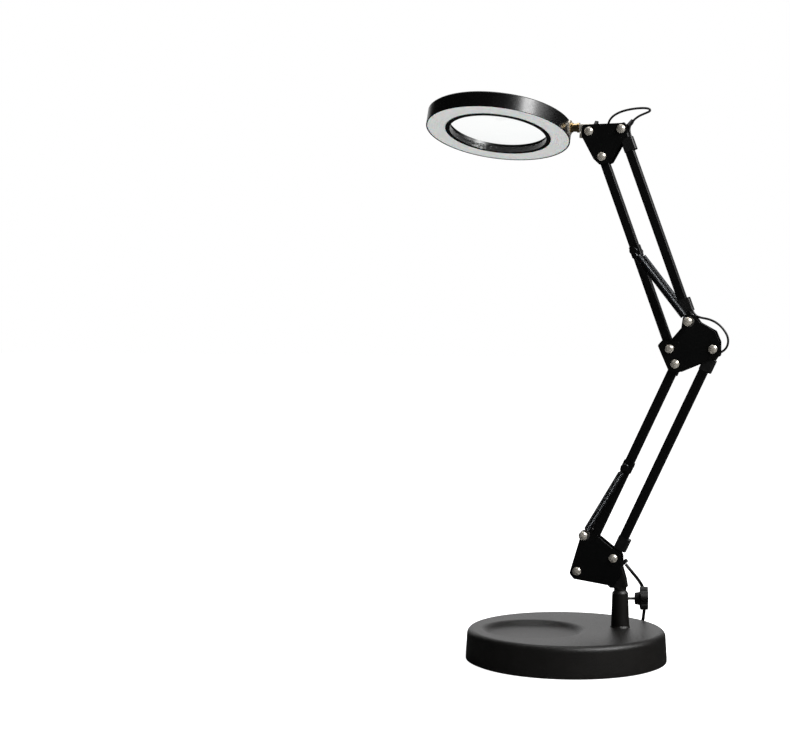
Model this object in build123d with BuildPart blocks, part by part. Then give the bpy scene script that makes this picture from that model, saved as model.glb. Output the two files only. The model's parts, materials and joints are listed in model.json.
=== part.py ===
"""A desk magnifying lamp: a round base, two spring-balanced parallelogram arms and a lit ring head."""

import os
from math import asin, cos, dist, pi, radians, sin, tan

from build123d import *

os.makedirs("parts", exist_ok=True)

# Frame: the origin is the centre of the base on the desk, +Z is up, and the arms stand in a plane along XZ.

# Base
BASE_R = 90.0
BASE_TOP_R = 88.8
BASE_H = 28.0
SKIRT_Z = 1.0
SHEET = 1.6
PAD_R = 87.6
PAD_H = 2.0
BALLAST_R = 86.0
BALLAST_H = 9.0
DISH_REACH = 30.0
DISH_OUTER_R = 48.0
DISH_FLOOR_R = 36.0
DISH_DEPTH = 4.4
BASE_LINE = 27.5  # degrees from the arm plane to the line through the dish and the column
COLUMN_REACH = 50.0
COLUMN_TOP = 61.0
COLUMN_TOP_R = 7.2
COLUMN_FOOT_R = 8.2
SWIVEL_R = 4.55
RUNNING = 0.05
SCREW_RING_R = 66.0
RIM_DROP = 5.0
RIM_INSET = 5.2

# Clamp knob
CLAMP_Z = 54.0
CLAMP_ANGLE = 15.0
CLAMP_SCREW_R = 1.3
KNOB_HUB_START = 13.0
KNOB_START = 17.6
KNOB_END = 24.8
KNOB_LOBES = 5

# Arms
BAR = 8.0
BAR_WALL = 0.9
BAR_END = 5.0
PLATE_GAP = 4.6
PLATE = 1.2
BOLT_R = 2.0
HEAD_R = 3.9
HEAD_H = 2.6
HEAD_EDGE = 0.5
WASHER_R = 4.7
WASHER_H = 0.5
NUT_R = 3.9
NUT_H = 3.0
WING_HUB_R = 4.4
WING_HUB_H = 6.5
WING_REACH = 9.2
WING_RISE = 9.8
WING_T = 2.6
SPRING_R = 3.2
SPRING_WIRE = 1.1
SPRING_Y = 10.4
SPRING_PIN_END = 13.2
SPRING_HOOK = 5.5
LEAD_R = 1.0
SLEEVE_AT = 9.0
SLEEVE_L = 12.0
SLEEVE_GAP = 0.35
TAIL_R = 1.5

column_x = COLUMN_REACH * cos(radians(BASE_LINE))
ARM_Y = COLUMN_REACH * sin(radians(BASE_LINE))

# Pivots of the two parallelograms, as x and z in the arm plane
LOWER_LINK = (33.5, 13.5)
LOWER_ARM = (88.5, 189.0)
UPPER_LINK = (17.5, 24.0)
UPPER_ARM = (-62.0, 172.0)


def shifted(point, vector, share=1.0):
    return (point[0] + share * vector[0], point[1] + share * vector[1])


A = (5.5, 77.0)
B = shifted(A, LOWER_LINK)
C = shifted(A, LOWER_ARM)
D = shifted(B, LOWER_ARM)
E = (89.0, 279.5)
F = shifted(E, UPPER_LINK)
G = shifted(E, UPPER_ARM)
H = shifted(F, UPPER_ARM)
P = (15.0, 474.5)
SPRING_STUD = (13.0, 110.5)
lower_clip_at = shifted(A, LOWER_ARM, 0.51)
upper_clip_at = shifted(E, UPPER_ARM, 0.505)

# Head
STEM_RISE = 3.6
STEM_DROP = 3.0
HEAD_ROLL = 15.8
HEAD_REACH = 86.4
HEAD_R_OUT = 66.6
HEAD_R_IN = 46.0
HEAD_H_OUT = 14.4
HEAD_H_IN = 9.6
HEAD_WALL = 1.8
BEZEL_R = 48.8
LENS_R = 45.8
LENS_CURVE = 330.0
LENS_EDGE = 1.8
STEM_R = 2.6
BARREL_R = 3.7
BLOCK_H = 6.6
STEM_SEAT = 6.2
THUMB_BACK = 7.5
BLOCK_BACK = 9.5
BLOCK_L = 13.0

# Stored lead, laid behind the base
STORE_ANGLE = 15.0
CONTROL_L = 46.0
CONTROL_W = 18.0
CONTROL_H = 10.4
CONTROL_AT = (19.0, 101.0)
COIL_AT = (-30.0, 120.5)
COIL_OUT_R = 24.0
COIL_IN_R = 12.0
COIL_H = 9.6
COIL_Z = 0.9
TIE_W = 4.0
TIE_T = 0.8
PLUG_Y = 140.0
PLUG_Z = 3.9
PLUG_START = -4.0
BOOT_L = 10.0
PLUG_L = 24.0
PLUG_W = 15.6
PLUG_SHELL_L = 12.0
COLLAR_L = 4.0
CONTROL_CORD_Z = 5.2
BUTTON_STEP = 11.0

ARM = Plane(origin=(0, ARM_Y, 0), x_dir=(1, 0, 0), z_dir=(0, -1, 0))
store_dir = (cos(radians(STORE_ANGLE)), sin(radians(STORE_ANGLE)), 0)
STORE = Plane(origin=(0, 0, 0), x_dir=store_dir, z_dir=(0, 0, 1))


def save(piece, name):
    piece.part.label = name
    export_step(piece.part, f"parts/{name}.step")


def save_group(name, *pieces):
    """Several separate solids of one kind, written as one node."""
    with BuildPart() as group:
        add(pieces)
    save(group, name)


def across(point):
    """A plane through a pivot whose Y axis is the pivot's own axis, pointing to the rear."""
    return Plane(origin=(point[0], ARM_Y, point[1]), x_dir=(1, 0, 0), z_dir=(0, 0, 1))


def pivot_axis(point):
    return Axis((point[0], ARM_Y, point[1]), (0, 1, 0))


def store_point(x, y, z):
    """A world point from a point given in the frame that the stored lead lies in."""
    return STORE.from_local_coords(Vector(x, y, z))


# ---------------------------------------------------------------- base

outer_skirt = [(0, SKIRT_Z), (BASE_R, SKIRT_Z), (BASE_R, 4), (BASE_TOP_R, BASE_H - RIM_DROP)]
line_dir = (cos(radians(BASE_LINE)), sin(radians(BASE_LINE)))
dish_centre = (-DISH_REACH * line_dir[0], -DISH_REACH * line_dir[1])
dish_plane = Plane(origin=(*dish_centre, 0), x_dir=(1, 0, 0), z_dir=(0, -1, 0))
dish_axis = Axis((*dish_centre, 0), (0, 0, 1))
screw_spots = [
    (SCREW_RING_R * cos(radians(BASE_LINE + turn)), SCREW_RING_R * sin(radians(BASE_LINE + turn)))
    for turn in (75, 285, 345)
]


def dish_body(grow):
    """The space of the dish, turned about its own axis, grown by the thickness of the sheet under it."""
    floor = BASE_H - DISH_DEPTH - grow
    with BuildPart() as dish:
        with BuildSketch(dish_plane):
            with BuildLine():
                Line((0, floor), (DISH_FLOOR_R, floor))
                Spline((DISH_FLOOR_R, floor), (DISH_OUTER_R + grow, BASE_H - grow), tangents=((1, 0), (1, 0)))
                Line((DISH_OUTER_R + grow, BASE_H - grow), (DISH_OUTER_R + grow, BASE_H + 5))
                Line((DISH_OUTER_R + grow, BASE_H + 5), (0, BASE_H + 5))
                Line((0, BASE_H + 5), (0, floor))
            make_face()
        revolve(axis=dish_axis)
    return dish.part


dish_tool = dish_body(0)
dish_skin = dish_body(SHEET)

with BuildPart() as cavity:
    with BuildSketch(Plane.XZ):
        with BuildLine():
            Polyline(
                (0, 0),
                (BASE_R - SHEET, 0),
                (BASE_R - SHEET, 4),
                (BASE_TOP_R - SHEET, BASE_H - RIM_DROP),
                (BASE_TOP_R - SHEET - 3.5, BASE_H - SHEET),
                (0, BASE_H - SHEET),
                close=True,
            )
        make_face()
    revolve(axis=Axis.Z)
    add(dish_skin, mode=Mode.SUBTRACT)
    with BuildSketch(Plane.XY):
        with Locations(*screw_spots):
            Circle(4)
    extrude(amount=BASE_H, mode=Mode.SUBTRACT)
    with BuildSketch(Plane.XY):
        with Locations(*screw_spots):
            Circle(4)
    extrude(amount=PAD_H + BALLAST_H)

with BuildPart() as base_cover:
    with BuildSketch(Plane.XZ):
        with BuildLine():
            Polyline(*outer_skirt)
            ThreePointArc(
                (BASE_TOP_R, BASE_H - RIM_DROP),
                (BASE_TOP_R - 1.6, BASE_H - 1.5),
                (BASE_TOP_R - RIM_INSET, BASE_H),
            )
            Line((BASE_TOP_R - RIM_INSET, BASE_H), (0, BASE_H))
            Line((0, BASE_H), (0, SKIRT_Z))
        make_face()
    revolve(axis=Axis.Z)
    add(dish_tool, mode=Mode.SUBTRACT)
    add(cavity.part, mode=Mode.SUBTRACT)
    with BuildSketch(Plane.XY):
        with Locations(*screw_spots):
            Circle(1.5)
    extrude(amount=BASE_H - 5, mode=Mode.SUBTRACT)
    with BuildSketch(Plane.XY):
        with Locations((column_x, ARM_Y)):
            Circle(3.0)
    extrude(amount=BASE_H, mode=Mode.SUBTRACT)
save(base_cover, "base_cover")

with BuildPart() as ballast_plate:
    with BuildSketch(Plane.XY.offset(PAD_H)):
        Circle(BALLAST_R)
        with Locations(*screw_spots):
            Circle(1.8, mode=Mode.SUBTRACT)
        with Locations((column_x, ARM_Y)):
            Circle(9, mode=Mode.SUBTRACT)
    extrude(amount=BALLAST_H)
    chamfer(ballast_plate.edges().filter_by(GeomType.CIRCLE).group_by(Axis.Z)[-1].sort_by(SortBy.LENGTH)[-1], 1)
save(ballast_plate, "ballast_plate")

with BuildPart() as foot_pad:
    with BuildSketch(Plane.XY):
        Circle(PAD_R)
    extrude(amount=PAD_H)
    with BuildSketch(Plane.XY):
        Circle(PAD_R - 8)
        Circle(PAD_R - 10, mode=Mode.SUBTRACT)
    extrude(amount=0.6, mode=Mode.SUBTRACT)
save(foot_pad, "foot_pad")

with BuildPart() as base_screws:
    with BuildSketch(Plane.XY.offset(PAD_H)):
        with Locations(*screw_spots):
            Circle(1.5)
    extrude(amount=15)
save(base_screws, "base_screws")

with BuildPart() as socket_column:
    with BuildSketch(Plane(origin=(column_x, ARM_Y, 0), x_dir=(1, 0, 0), z_dir=(0, -1, 0))):
        with BuildLine():
            Polyline(
                (0, BASE_H),
                (COLUMN_FOOT_R + 0.8, BASE_H),
                (COLUMN_FOOT_R, BASE_H + 1.5),
                (COLUMN_TOP_R, COLUMN_TOP - 2.2),
                (COLUMN_TOP_R - 1.6, COLUMN_TOP),
                (0, COLUMN_TOP),
                close=True,
            )
        make_face()
    revolve(axis=Axis((column_x, ARM_Y, 0), (0, 0, 1)))
    with BuildSketch(Plane.XY.offset(COLUMN_TOP)):
        with Locations((column_x, ARM_Y)):
            Circle(SWIVEL_R + RUNNING)
    extrude(amount=-24, mode=Mode.SUBTRACT)
    with BuildSketch(Plane.XY.offset(BASE_H)):
        with Locations((column_x, ARM_Y)):
            Circle(3.0)
    extrude(amount=6, mode=Mode.SUBTRACT)
    clamp_dir = (cos(radians(CLAMP_ANGLE)), sin(radians(CLAMP_ANGLE)), 0)
    clamp_plane = Plane(origin=(column_x, ARM_Y, CLAMP_Z), x_dir=(0, 0, 1), z_dir=clamp_dir)
    with BuildSketch(clamp_plane):
        Circle(CLAMP_SCREW_R + RUNNING)
    extrude(amount=12, mode=Mode.SUBTRACT)
save(socket_column, "socket_column")

with BuildPart() as column_fixings:
    with BuildSketch(Plane.XY.offset(BASE_H - SHEET - 1.5)):
        with Locations((column_x, ARM_Y)):
            Circle(8)
            Circle(3.0, mode=Mode.SUBTRACT)
    extrude(amount=1.5)
    with BuildSketch(Plane.XY.offset(BASE_H - SHEET - 5.5)):
        with Locations((column_x, ARM_Y)):
            RegularPolygon(5.5, 6)
    extrude(amount=4)
    with BuildSketch(Plane.XY.offset(BASE_H - SHEET - 5.5)):
        with Locations((column_x, ARM_Y)):
            Circle(3.0)
    extrude(amount=12.5)
save(column_fixings, "column_fixings")

# ---------------------------------------------------------------- clamp knob

with BuildPart() as clamp_screw:
    with BuildSketch(clamp_plane.offset(SWIVEL_R + 0.1)):
        Circle(CLAMP_SCREW_R)
    extrude(amount=KNOB_START - SWIVEL_R)
save(clamp_screw, "clamp_screw")

with BuildPart() as clamp_knob:
    with BuildSketch(clamp_plane.offset(KNOB_START)):
        Circle(8.4)
        with PolarLocations(7.2, KNOB_LOBES):
            Circle(3.6)
    extrude(amount=KNOB_END - KNOB_START)
    fillet(clamp_knob.edges().group_by(SortBy.LENGTH)[-1], 0.8)
    with BuildSketch(clamp_plane.offset(KNOB_HUB_START)):
        Circle(5.2)
    with BuildSketch(clamp_plane.offset(KNOB_START)):
        Circle(6.0)
    loft()
    with BuildSketch(clamp_plane.offset(KNOB_HUB_START)):
        Circle(CLAMP_SCREW_R)
    extrude(amount=KNOB_START - KNOB_HUB_START + 0.15, mode=Mode.SUBTRACT)
save(clamp_knob, "clamp_knob")

# ---------------------------------------------------------------- brackets

LOWER_OUTLINE = [
    (9.5, 111.5), (-1.5, 75.0), (2.5, 70.0), (39.5, 65.2), (46.0, 74.5), (46.0, 93.5), (17.5, 115.0),
]
ELBOW_OUTLINE = [
    (99.5, 298.0), (101.0, 308.0), (110.5, 310.0), (115.5, 303.0), (129.0, 295.5), (133.0, 286.0),
    (133.0, 273.5), (98.0, 258.8), (88.5, 259.5), (78.5, 282.5), (82.5, 287.0), (90.0, 287.0),
]
TOP_OUTLINE = [
    (8.8, 480.7), (48.8, 480.7), (50.5, 472.5), (35.0, 446.0), (25.5, 443.8), (19.5, 449.5), (8.6, 470.0),
]


def bracket_plate(name, outline, corner, holes, front):
    """One side plate of a bracket, with its bolt holes."""
    inner = PLATE_GAP if front else -PLATE_GAP
    with BuildPart() as plate:
        with BuildSketch(ARM.offset(inner)) as face:
            with BuildLine():
                Polyline(*outline, close=True)
            make_face()
            fillet(face.vertices(), corner)
            with Locations(*holes):
                Circle(BOLT_R, mode=Mode.SUBTRACT)
        extrude(amount=PLATE if front else -PLATE)
    save(plate, name)


def bolt(point, front_y, rear_y):
    """A smooth domed bolt: its head sits on front_y, its shank ends at rear_y, both from the arm plane."""
    rim = -front_y
    dome = HEAD_H - HEAD_EDGE
    ball = (HEAD_R**2 + dome**2) / (2 * dome)
    slope = asin(HEAD_R / ball) / 2
    middle = (ball * sin(slope), rim - HEAD_H + ball * (1 - cos(slope)))
    with BuildPart() as fastener:
        with BuildSketch(across(point)):
            with BuildLine():
                Line((0, rear_y), (BOLT_R - 0.3, rear_y))
                Line((BOLT_R - 0.3, rear_y), (BOLT_R, rear_y - 0.3))
                Line((BOLT_R, rear_y - 0.3), (BOLT_R, rim))
                Line((BOLT_R, rim), (HEAD_R, rim))
                Line((HEAD_R, rim), (HEAD_R, rim - HEAD_EDGE))
                ThreePointArc((HEAD_R, rim - HEAD_EDGE), middle, (0, rim - HEAD_H))
                Line((0, rim - HEAD_H), (0, rear_y))
            make_face()
        revolve(axis=pivot_axis(point))
    return fastener.part


def washer(point, start):
    """A washer that stands on the plane at start and grows away from the arm plane."""
    with BuildPart() as ring:
        with BuildSketch(ARM.offset(start)):
            with Locations(point):
                Circle(WASHER_R)
                Circle(BOLT_R, mode=Mode.SUBTRACT)
        extrude(amount=WASHER_H if start > 0 else -WASHER_H)
    return ring.part


def hex_nut(point, start):
    with BuildPart() as nut:
        with BuildSketch(ARM.offset(-start)):
            with Locations(point):
                RegularPolygon(NUT_R, 6)
                Circle(BOLT_R, mode=Mode.SUBTRACT)
        extrude(amount=-NUT_H)
    return nut.part


def wing_nut(name, point, start, turn):
    """A wing nut behind the bracket: a tapered hub on the bolt and two flat wings, turned about the bolt."""
    across_wings = (cos(radians(turn)), 0, sin(radians(turn)))
    side = Plane(origin=(point[0], ARM_Y + start, point[1]), x_dir=across_wings, z_dir=(0, 1, 0))
    wing = Plane(origin=side.origin, x_dir=side.x_dir, z_dir=side.x_dir.cross(side.z_dir))
    with BuildPart() as nut:
        with BuildSketch(side):
            Circle(WING_HUB_R)
        extrude(amount=WING_HUB_H, taper=6)
        for reach in (WING_REACH, -WING_REACH):
            with BuildSketch(wing):
                with Locations((reach / 3, WING_HUB_H / 2)):
                    Circle(2.1)
                with Locations((reach, WING_RISE)):
                    Circle(2.6)
                make_hull()
            extrude(amount=WING_T / 2, both=True)
        with BuildSketch(side):
            Circle(BOLT_R + RUNNING)
        extrude(amount=WING_HUB_H + 0.5, mode=Mode.SUBTRACT)
    save(nut, name)


face_y = PLATE_GAP + PLATE
head_y = face_y + WASHER_H
plain_end = head_y + NUT_H + 1.0
wing_end = head_y + 5.5
nut_top = head_y + NUT_H

bracket_plate("lower_plate_front", LOWER_OUTLINE, 3.0, [A, B, SPRING_STUD], True)
bracket_plate("lower_plate_rear", LOWER_OUTLINE, 3.0, [A, B, SPRING_STUD], False)
bracket_plate("elbow_plate_front", ELBOW_OUTLINE, 2.2, [C, D, E, F], True)
bracket_plate("elbow_plate_rear", ELBOW_OUTLINE, 2.2, [C, D, E, F], False)
bracket_plate("top_plate_front", TOP_OUTLINE, 3.0, [G, H, P], True)
bracket_plate("top_plate_rear", TOP_OUTLINE, 3.0, [G, H, P], False)

# The lower springs hang on two short studs, one on each plate, so the left bar can swing between them.
front_stud = bolt(SPRING_STUD, SPRING_PIN_END, -PLATE_GAP)
save_group(
    "lower_bolts",
    bolt(A, face_y, plain_end),
    bolt(B, face_y, plain_end),
    front_stud,
    mirror(front_stud, about=ARM),
)
save_group(
    "elbow_bolts",
    bolt(C, face_y, wing_end),
    bolt(D, face_y, plain_end),
    bolt(E, face_y, plain_end),
    bolt(F, SPRING_PIN_END, SPRING_PIN_END + NUT_H),
)
save_group("top_bolts", bolt(G, face_y, plain_end), bolt(H, face_y, wing_end), bolt(P, face_y, wing_end))


def fixings(name, rear_washers, plain_nuts, collars, outer_nuts=()):
    """The washers and nuts behind a bracket, and the collars and nuts of the bolts that carry springs."""
    rings = [washer(spot, -face_y) for spot in rear_washers]
    rings += [washer(spot, side) for spot in collars for side in (face_y, -face_y)]
    nuts = [hex_nut(spot, head_y) for spot in plain_nuts]
    nuts += [hex_nut(spot, SPRING_PIN_END) for spot in outer_nuts]
    save_group(name, *rings, *nuts)


fixings("lower_fixings", (A, B), (A, B), (SPRING_STUD,))
fixings("elbow_fixings", (C, D, E), (D, E), (F,), (F,))
fixings("top_fixings", (G, H, P), (G,), ())

wing_nut("elbow_wing_nut", C, nut_top - 0.5, 250)
wing_nut("arm_wing_nut", H, head_y + 0.3, 60)
wing_nut("head_wing_nut", P, head_y + 0.3, 80)

with BuildPart() as swivel_stem:
    with BuildSketch(ARM.offset(PLATE_GAP)) as body:
        with BuildLine():
            Polyline((31, 68.5), (36, 63.6), (50.8, 63.6), (49.4, 72), (46.0, 83.5), (31, 83.5), close=True)
        make_face()
        fillet(body.vertices().group_by(Axis.X)[-1], 1.5)
    extrude(amount=-2 * PLATE_GAP)
    with BuildSketch(Plane.XY.offset(COLUMN_TOP - 22)):
        with Locations((column_x, ARM_Y)):
            Circle(SWIVEL_R)
    extrude(amount=26)
    with BuildSketch(Plane.XY.offset(COLUMN_TOP + 0.4)):
        with Locations((column_x, ARM_Y)):
            Circle(5.6)
    extrude(amount=2.6)
save(swivel_stem, "swivel_stem")

CLIP_OUTLINE = [(43.0, 83.5), (46.7, 83.5), (51.2, 87.5), (49.0, 90.0), (44.5, 86.0), (43.0, 85.4)]
with BuildPart() as lead_clip:
    with BuildSketch(ARM.offset(3.0)):
        with BuildLine():
            Polyline(*CLIP_OUTLINE, close=True)
        make_face()
    extrude(amount=-6.0)
save(lead_clip, "lead_clip")

with BuildPart() as lead_grip:
    with BuildSketch(ARM.offset(PLATE_GAP)) as grip_face:
        with Locations((31.0, 472.0)):
            Rectangle(7, 9)
        fillet(grip_face.vertices(), 1)
    extrude(amount=-2 * PLATE_GAP)
save(lead_grip, "lead_grip")

# ---------------------------------------------------------------- arm bars


def bar_plane(start, end, along):
    """A plane across a bar at a distance along it from its first pivot. X points to the rear."""
    length = dist(start, end)
    way = ((end[0] - start[0]) / length, (end[1] - start[1]) / length)
    origin = (start[0] + way[0] * along, ARM_Y, start[1] + way[1] * along)
    return Plane(origin=origin, x_dir=(0, 1, 0), z_dir=(way[0], 0, way[1]))


def arm_tube(name, start, end, extra=()):
    """A square tube between two pivots, with its bolt holes."""
    length = dist(start, end) + 2 * BAR_END
    with BuildPart() as tube:
        with BuildSketch(bar_plane(start, end, -BAR_END)):
            RectangleRounded(BAR, BAR, 1.2)
            RectangleRounded(BAR - 2 * BAR_WALL, BAR - 2 * BAR_WALL, 0.5, mode=Mode.SUBTRACT)
        extrude(amount=length)
        with BuildSketch(ARM.offset(BAR)):
            with Locations(start, end, *extra):
                Circle(BOLT_R + RUNNING)
        extrude(amount=-2 * BAR, mode=Mode.SUBTRACT)
    save(tube, name)


def spring_clip(name, start, end, point):
    """The collar and cross pin that a pair of springs hooks onto."""
    along = dist(start, point)
    with BuildPart() as clip:
        with BuildSketch(bar_plane(start, end, along - 5)):
            RectangleRounded(BAR + 1.6, BAR + 1.6, 1.8)
            RectangleRounded(BAR, BAR, 1.2, mode=Mode.SUBTRACT)
        extrude(amount=10)
        with BuildSketch(ARM.offset(SPRING_PIN_END)):
            with Locations(point):
                Circle(BOLT_R)
        extrude(amount=-2 * SPRING_PIN_END)
        for side in (1, -1):
            with BuildSketch(ARM.offset(side * SPRING_PIN_END)):
                with Locations(point):
                    Circle(3.2)
            extrude(amount=side * 1.2)
    save(clip, name)


def sleeves(name, start, end, spots):
    """Shrink sleeves round a bar and the lead beside it."""
    with BuildPart() as pair:
        for along in spots:
            with BuildSketch(bar_plane(start, end, along)):
                with Locations((0, 1.1)):
                    RectangleRounded(BAR + 0.6, BAR + 3.2, 1.6)
                RectangleRounded(BAR, BAR, 1.2, mode=Mode.SUBTRACT)
            extrude(amount=SLEEVE_L)
    save(pair, name)


arm_tube("lower_tube_left", A, C, [lower_clip_at])
arm_tube("lower_tube_right", B, D)
arm_tube("upper_tube_left", E, G, [upper_clip_at])
arm_tube("upper_tube_right", F, H)
spring_clip("lower_spring_clip", A, C, lower_clip_at)
spring_clip("upper_spring_clip", E, G, upper_clip_at)
sleeves("lower_sleeves", D, B, [SLEEVE_AT, dist(D, B) - SLEEVE_AT - SLEEVE_L])
sleeves("upper_sleeves", H, F, [SLEEVE_AT, dist(H, F) - SLEEVE_AT - SLEEVE_L])


def extension_springs(name, low, high):
    """Two extension springs, front and rear, each one a coiled body with a ring hook at either end."""
    ring = BOLT_R + 0.75
    length = dist(low, high)
    way = ((high[0] - low[0]) / length, (high[1] - low[1]) / length)
    with BuildPart() as springs:
        for side in (SPRING_Y, -SPRING_Y):
            start = Plane(
                origin=(low[0] + way[0] * SPRING_HOOK, ARM_Y + side, low[1] + way[1] * SPRING_HOOK),
                x_dir=(0, 1, 0),
                z_dir=(way[0], 0, way[1]),
            )
            with BuildSketch(start):
                Circle(SPRING_R)
                Circle(SPRING_R - SPRING_WIRE, mode=Mode.SUBTRACT)
            extrude(amount=length - 2 * SPRING_HOOK)
            for cap in (0, length - 2 * SPRING_HOOK - SPRING_WIRE):
                with BuildSketch(start.offset(cap)):
                    Circle(SPRING_R)
                extrude(amount=SPRING_WIRE)
            for point, turn in ((low, 1), (high, -1)):
                hook = Plane(
                    origin=(point[0] + turn * way[0] * ring, ARM_Y + side, point[1] + turn * way[1] * ring),
                    x_dir=(0, 1, 0),
                    z_dir=(turn * way[0], 0, turn * way[1]),
                )
                with BuildSketch(hook):
                    Circle(0.6)
                extrude(amount=SPRING_HOOK + 0.5 - ring)
                with Locations((point[0], ARM_Y + side, point[1])):
                    Torus(ring, 0.6, rotation=(90, 0, 0))
    save(springs, name)


extension_springs("lower_springs", SPRING_STUD, lower_clip_at)
extension_springs("upper_springs", F, upper_clip_at)

# ---------------------------------------------------------------- head

drop = radians(STEM_DROP)
roll = radians(HEAD_ROLL)
stem_dir = Vector(cos(drop), 0, -sin(drop))
stem_up = Vector(sin(drop), 0, cos(drop))
head_up = stem_up * cos(roll) + Vector(0, 1, 0) * sin(roll)
stem_point = Vector(P[0], ARM_Y, P[1]) + stem_up * STEM_RISE
head_centre = stem_point - stem_dir * HEAD_REACH
HEAD = Plane(origin=head_centre, x_dir=stem_dir, z_dir=head_up)
HEAD_SIDE = Plane(origin=head_centre, x_dir=stem_dir, z_dir=stem_dir.cross(head_up))
head_axis = Axis(head_centre, head_up)
half = HEAD_H_OUT / 2
inner_top = HEAD_H_IN - half


def head_turned(name, outline):
    """A ring of the head, turned about the head's own axis from its section as (radius, height) points."""
    with BuildPart() as ring:
        with BuildSketch(HEAD_SIDE):
            with BuildLine():
                Polyline(*outline, close=True)
            make_face()
        revolve(axis=head_axis)
    save(ring, name)


def stem_plane(along):
    """A plane across the stem, at a distance from the head's centre."""
    return Plane(origin=head_centre + stem_dir * along, x_dir=head_up, z_dir=stem_dir)


with BuildPart() as head_housing:
    with BuildSketch(HEAD_SIDE):
        with BuildLine():
            Polyline(
                (HEAD_R_OUT, -half),
                (HEAD_R_OUT, half - 1),
                (HEAD_R_OUT - 1, half),
                (HEAD_R_OUT - HEAD_WALL, half),
                (HEAD_R_OUT - HEAD_WALL, -half + 2.2),
                (HEAD_R_OUT - HEAD_WALL - 1, -half + 2.2),
                (HEAD_R_OUT - HEAD_WALL - 1, -half + 1.7),
                (HEAD_R_OUT - 1, -half + 1.7),
                (HEAD_R_OUT - 1, -half),
                close=True,
            )
        make_face()
    revolve(axis=head_axis)
    with BuildSketch(stem_plane(HEAD_R_OUT - 6)):
        Circle(STEM_R)
    extrude(amount=8, mode=Mode.SUBTRACT)
save(head_housing, "head_housing")

back_in = HEAD_R_IN + HEAD_WALL
back_out = HEAD_R_OUT - HEAD_WALL - 0.03
with BuildPart() as head_back_cover:
    with BuildSketch(HEAD_SIDE):
        with BuildLine():
            Polyline(
                (back_out, half - 0.2),
                (back_out - 3, half),
                (HEAD_R_IN, inner_top),
                (HEAD_R_IN, -half + 1.0),
                (back_in, -half + 1.0),
                (back_in, inner_top - 1.4),
                (back_out - 3, half - 1.8),
                (back_out, half - 1.8),
                close=True,
            )
        make_face()
    revolve(axis=head_axis)
    with BuildSketch(HEAD.offset(half + 1)):
        with PolarLocations(back_out - 5.5, 4, start_angle=45):
            Circle(1.5)
    extrude(amount=-5, mode=Mode.SUBTRACT)
save(head_back_cover, "head_back_cover")

diffuser_top = -half + 1.7
diffuser_low = -half + 0.3
diffuser_in = BEZEL_R + 0.1
diffuser_out = HEAD_R_OUT - 1.1
head_turned(
    "diffuser_ring",
    [
        (diffuser_in, diffuser_low),
        (diffuser_out, diffuser_low),
        (diffuser_out, diffuser_top),
        (diffuser_in, diffuser_top),
    ],
)

head_turned(
    "lens_bezel",
    [
        (HEAD_R_IN - 1.2, -half - 0.2),
        (BEZEL_R, -half - 0.2),
        (BEZEL_R, -half + 2.6),
        (back_in + 0.1, -half + 2.6),
        (back_in + 0.1, -half + 1.0),
        (HEAD_R_IN, -half + 1.0),
        (HEAD_R_IN, -half + 4.2),
        (HEAD_R_IN - 1.2, -half + 4.2),
    ],
)

lens_low = -half + 4.4
lens_high = lens_low + LENS_EDGE
lens_sag = LENS_CURVE - (LENS_CURVE**2 - LENS_R**2) ** 0.5
with BuildPart() as lens:
    with BuildSketch(HEAD_SIDE):
        with BuildLine():
            Line((0, lens_low - lens_sag), (0, lens_high + lens_sag))
            RadiusArc((0, lens_high + lens_sag), (LENS_R, lens_high), LENS_CURVE)
            Line((LENS_R, lens_high), (LENS_R, lens_low))
            RadiusArc((LENS_R, lens_low), (0, lens_low - lens_sag), LENS_CURVE)
        make_face()
    revolve(axis=head_axis)
save(lens, "lens")

board_z = 0.6
with BuildPart() as led_board:
    with BuildSketch(HEAD.offset(board_z)):
        Circle(HEAD_R_OUT - HEAD_WALL - 0.5)
        Circle(HEAD_R_IN + HEAD_WALL + 1.5, mode=Mode.SUBTRACT)
    extrude(amount=-1.2)
    with BuildSketch(HEAD.offset(board_z - 1.2)):
        with PolarLocations(55, 36):
            Rectangle(2.8, 3.5)
    extrude(amount=-0.8)
save(led_board, "led_board")

with BuildPart() as head_screws:
    for spot in range(4):
        turn = radians(45 + 90 * spot)
        reach = back_out - 5.5
        centre = HEAD.from_local_coords(Vector(reach * cos(turn), reach * sin(turn), half - 0.4))
        with BuildSketch(Plane(origin=centre, x_dir=stem_dir, z_dir=head_up)):
            Circle(1.5)
        extrude(amount=-4.2)
save(head_screws, "head_screws")

with BuildPart() as head_flange:
    with BuildSketch(stem_plane(HEAD_R_OUT + 1.6)):
        Circle(6.6)
        Circle(STEM_R, mode=Mode.SUBTRACT)
    extrude(amount=-4.0)
    with BuildSketch(HEAD.offset(-half)):
        Circle(HEAD_R_OUT)
    extrude(amount=HEAD_H_OUT, mode=Mode.SUBTRACT)
save(head_flange, "head_flange")

block_start = HEAD_REACH - BLOCK_BACK
stem_start = HEAD_R_OUT - HEAD_WALL - 0.2
with BuildPart() as head_stem:
    with BuildSketch(stem_plane(stem_start)):
        Circle(STEM_R)
    extrude(amount=block_start + STEM_SEAT - stem_start)
    with BuildSketch(stem_plane(HEAD_R_OUT + 1.6)):
        Circle(BARREL_R)
    extrude(amount=block_start - 0.4 - HEAD_R_OUT - 1.6)
    for rim in (HEAD_R_OUT + 1.6, block_start - 2.4):
        with BuildSketch(stem_plane(rim)):
            Circle(BARREL_R + 0.7)
        extrude(amount=2.0)
    with BuildSketch(stem_plane(stem_start)):
        Circle(1.3)
    extrude(amount=block_start + STEM_SEAT - stem_start, mode=Mode.SUBTRACT)
save(head_stem, "head_stem")

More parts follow.
